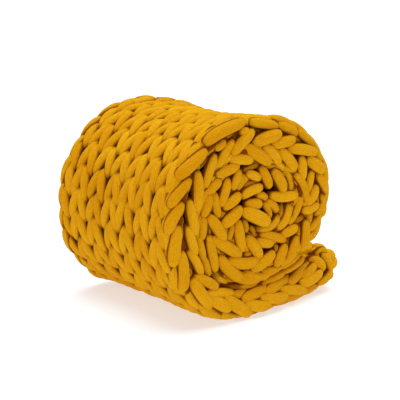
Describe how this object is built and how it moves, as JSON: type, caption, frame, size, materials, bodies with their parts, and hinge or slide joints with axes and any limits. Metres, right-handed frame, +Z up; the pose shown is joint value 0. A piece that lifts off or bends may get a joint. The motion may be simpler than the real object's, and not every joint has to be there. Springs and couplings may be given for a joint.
{
  "type": "rolled weighted blanket",
  "caption": "Weighted blanket of chunky stocking-stitch knit, folded to a narrow strip and rolled up on its side, with the loose end lying behind the roll.",
  "frame": {"origin": "on the floor, under the middle of the roll's bounding box", "axes": "+Z up; X along the roll from one knitted fold edge to the other, the spiral end that is wound clockwise faces +X; +Y towards the loose end that lies on the floor"},
  "size_m": [0.4138, 0.4608, 0.3727],
  "materials": {
    "mustard_yarn": "matte brushed cotton jersey tube yarn"
  },
  "bodies": {
    "root": {"rolled_blanket": "mustard_yarn"}
  },
  "joints": []
}
